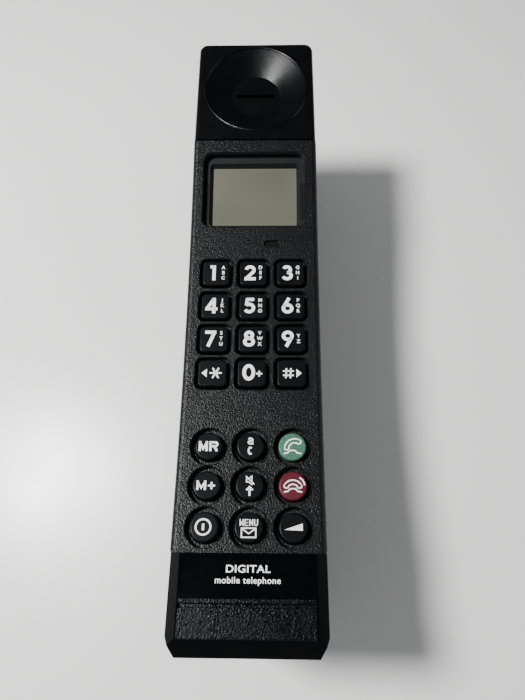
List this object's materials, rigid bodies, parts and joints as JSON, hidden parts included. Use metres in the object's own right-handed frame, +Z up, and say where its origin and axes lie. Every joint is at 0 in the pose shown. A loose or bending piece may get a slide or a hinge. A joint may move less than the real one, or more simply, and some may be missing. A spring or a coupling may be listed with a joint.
{
  "type": "brick cellular telephone handset",
  "caption": "Brick-style mobile telephone handset with keypad, display, earpiece dish, stub antenna and slide-off battery pack.",
  "frame": {"origin": "on the surface it lies on, under the middle of its whole length, antenna included", "axes": "+Z up out of the keypad face, +Y from the mouth end towards the ear end and antenna, +X to the user's right"},
  "size_m": [0.0456, 0.2712, 0.0847],
  "materials": {
    "housing_plastic": "fine spark-eroded texture",
    "ear_plastic": "smoother satin than the housing",
    "mouth_plastic": "satin",
    "grain_plastic": "coarse grain",
    "battery_plastic": "fine spark-eroded texture",
    "latch_plastic": "satin with thumb ridges",
    "clear_window": "polished clear plastic",
    "bezel_black": "matt",
    "lcd_glass": "grey-green liquid crystal panel",
    "light_guide": "diffuse",
    "inner_plastic": "moulded",
    "status_smoke": "smoked lens",
    "silicone": "silicone rubber",
    "contact_metal": "plated",
    "circuit_board": "solder mask",
    "chip_black": "moulded",
    "can_metal": "tinned sheet",
    "speaker_metal": "plain",
    "foam_rubber": "soft",
    "antenna_rubber": "moulded rubber",
    "bush_metal": "dark plated",
    "connector_black": "moulded",
    "card_plastic": "card",
    "screw_steel": "zinc plated",
    "cell_wrap": "shrink sleeve",
    "key_black": "satin",
    "key_green": "satin",
    "legend_white": "printed legend ink on the keys and the mouth cover",
    "key_red": "satin"
  },
  "bodies": {
    "root": {"front_housing": "housing_plastic", "rear_housing": "housing_plastic", "earpiece_cover": "ear_plastic", "mouthpiece_cover": "mouth_plastic", "grain_pad": "grain_plastic", "display_window": "clear_window", "display_bezel": "bezel_black", "lcd_panel": "lcd_glass", "lcd_backlight": "light_guide", "lcd_holder": "inner_plastic", "status_lens": "status_smoke", "status_led": "light_guide", "keypad_mat": "silicone", "dome_contacts": "contact_metal", "logic_board": "circuit_board", "radio_board": "circuit_board", "logic_chips": "chip_black", "board_connector": "inner_plastic", "shield_cans": "can_metal", "earpiece_speaker": "speaker_metal", "earpiece_gasket": "foam_rubber", "microphone": "speaker_metal", "microphone_boot": "foam_rubber", "ringer": "inner_plastic", "antenna_sleeve": "antenna_rubber", "antenna_base": "bush_metal", "antenna_contact": "contact_metal", "accessory_connector": "connector_black", "connector_pins": "contact_metal", "battery_terminals": "contact_metal", "sim_holder": "can_metal", "sim_card": "card_plastic", "housing_screws": "screw_steel"},
    "key_1": {"key_1": "key_black"},
    "key_2": {"key_2": "key_black"},
    "key_3": {"key_3": "key_black"},
    "key_4": {"key_4": "key_black"},
    "key_5": {"key_5": "key_black"},
    "key_6": {"key_6": "key_black"},
    "key_7": {"key_7": "key_black"},
    "key_8": {"key_8": "key_black"},
    "key_9": {"key_9": "key_black"},
    "key_star": {"key_star": "key_black"},
    "key_0": {"key_0": "key_black"},
    "key_hash": {"key_hash": "key_black"},
    "key_recall": {"key_recall": "key_black"},
    "key_alpha_clear": {"key_alpha_clear": "key_black"},
    "key_call": {"key_call": "key_green"},
    "key_store": {"key_store": "key_black"},
    "key_mute": {"key_mute": "key_black"},
    "key_end": {"key_end": "key_red"},
    "key_power": {"key_power": "key_black"},
    "key_menu": {"key_menu": "key_black"},
    "key_volume": {"key_volume": "key_black"},
    "battery": {"battery_case": "battery_plastic", "battery_lid": "battery_plastic", "battery_cells": "cell_wrap", "battery_contacts": "contact_metal", "latch_spring": "screw_steel"},
    "battery_latch": {"battery_latch": "latch_plastic"}
  },
  "joints": [
    {"name": "press_1", "type": "slide", "parent": "root", "child": "key_1", "axis": [0, 0.0714, -0.9974], "range_m": [0, 0.0009], "stiffness_N_per_m": 900, "springref_m": -0.0003},
    {"name": "press_2", "type": "slide", "parent": "root", "child": "key_2", "axis": [0, 0.0714, -0.9974], "range_m": [0, 0.0009], "stiffness_N_per_m": 900, "springref_m": -0.0003},
    {"name": "press_3", "type": "slide", "parent": "root", "child": "key_3", "axis": [0, 0.0714, -0.9974], "range_m": [0, 0.0009], "stiffness_N_per_m": 900, "springref_m": -0.0003},
    {"name": "press_4", "type": "slide", "parent": "root", "child": "key_4", "axis": [0, 0.043, -0.9991], "range_m": [0, 0.0009], "stiffness_N_per_m": 900, "springref_m": -0.0003},
    {"name": "press_5", "type": "slide", "parent": "root", "child": "key_5", "axis": [0, 0.043, -0.9991], "range_m": [0, 0.0009], "stiffness_N_per_m": 900, "springref_m": -0.0003},
    {"name": "press_6", "type": "slide", "parent": "root", "child": "key_6", "axis": [0, 0.043, -0.9991], "range_m": [0, 0.0009], "stiffness_N_per_m": 900, "springref_m": -0.0003},
    {"name": "press_7", "type": "slide", "parent": "root", "child": "key_7", "axis": [0, 0.0153, -0.9999], "range_m": [0, 0.0009], "stiffness_N_per_m": 900, "springref_m": -0.0003},
    {"name": "press_8", "type": "slide", "parent": "root", "child": "key_8", "axis": [0, 0.0153, -0.9999], "range_m": [0, 0.0009], "stiffness_N_per_m": 900, "springref_m": -0.0003},
    {"name": "press_9", "type": "slide", "parent": "root", "child": "key_9", "axis": [0, 0.0153, -0.9999], "range_m": [0, 0.0009], "stiffness_N_per_m": 900, "springref_m": -0.0003},
    {"name": "press_star", "type": "slide", "parent": "root", "child": "key_star", "axis": [0, -0.0123, -0.9999], "range_m": [0, 0.0009], "stiffness_N_per_m": 900, "springref_m": -0.0003},
    {"name": "press_0", "type": "slide", "parent": "root", "child": "key_0", "axis": [0, -0.0123, -0.9999], "range_m": [0, 0.0009], "stiffness_N_per_m": 900, "springref_m": -0.0003},
    {"name": "press_hash", "type": "slide", "parent": "root", "child": "key_hash", "axis": [0, -0.0123, -0.9999], "range_m": [0, 0.0009], "stiffness_N_per_m": 900, "springref_m": -0.0003},
    {"name": "press_recall", "type": "slide", "parent": "root", "child": "key_recall", "axis": [0, -0.0679, -0.9977], "range_m": [0, 0.0009], "stiffness_N_per_m": 900, "springref_m": -0.0003},
    {"name": "press_alpha_clear", "type": "slide", "parent": "root", "child": "key_alpha_clear", "axis": [0, -0.0679, -0.9977], "range_m": [0, 0.0009], "stiffness_N_per_m": 900, "springref_m": -0.0003},
    {"name": "press_call", "type": "slide", "parent": "root", "child": "key_call", "axis": [0, -0.0679, -0.9977], "range_m": [0, 0.0009], "stiffness_N_per_m": 900, "springref_m": -0.0003},
    {"name": "press_store", "type": "slide", "parent": "root", "child": "key_store", "axis": [0, -0.0953, -0.9954], "range_m": [0, 0.0009], "stiffness_N_per_m": 900, "springref_m": -0.0003},
    {"name": "press_mute", "type": "slide", "parent": "root", "child": "key_mute", "axis": [0, -0.0953, -0.9954], "range_m": [0, 0.0009], "stiffness_N_per_m": 900, "springref_m": -0.0003},
    {"name": "press_end", "type": "slide", "parent": "root", "child": "key_end", "axis": [0, -0.0953, -0.9954], "range_m": [0, 0.0009], "stiffness_N_per_m": 900, "springref_m": -0.0003},
    {"name": "press_power", "type": "slide", "parent": "root", "child": "key_power", "axis": [0, -0.1228, -0.9924], "range_m": [0, 0.0009], "stiffness_N_per_m": 900, "springref_m": -0.0003},
    {"name": "press_menu", "type": "slide", "parent": "root", "child": "key_menu", "axis": [0, -0.1228, -0.9924], "range_m": [0, 0.0009], "stiffness_N_per_m": 900, "springref_m": -0.0003},
    {"name": "press_volume", "type": "slide", "parent": "root", "child": "key_volume", "axis": [0, -0.1228, -0.9924], "range_m": [0, 0.0009], "stiffness_N_per_m": 900, "springref_m": -0.0003},
    {"name": "battery_slide", "type": "slide", "parent": "root", "child": "battery", "axis": [0, -1, 0], "range_m": [0, 0.165]},
    {"name": "latch_slide", "type": "slide", "parent": "battery", "child": "battery_latch", "axis": [0, -1, 0], "range_m": [0, 0.0024], "stiffness_N_per_m": 400, "springref_m": -0.002}
  ]
}
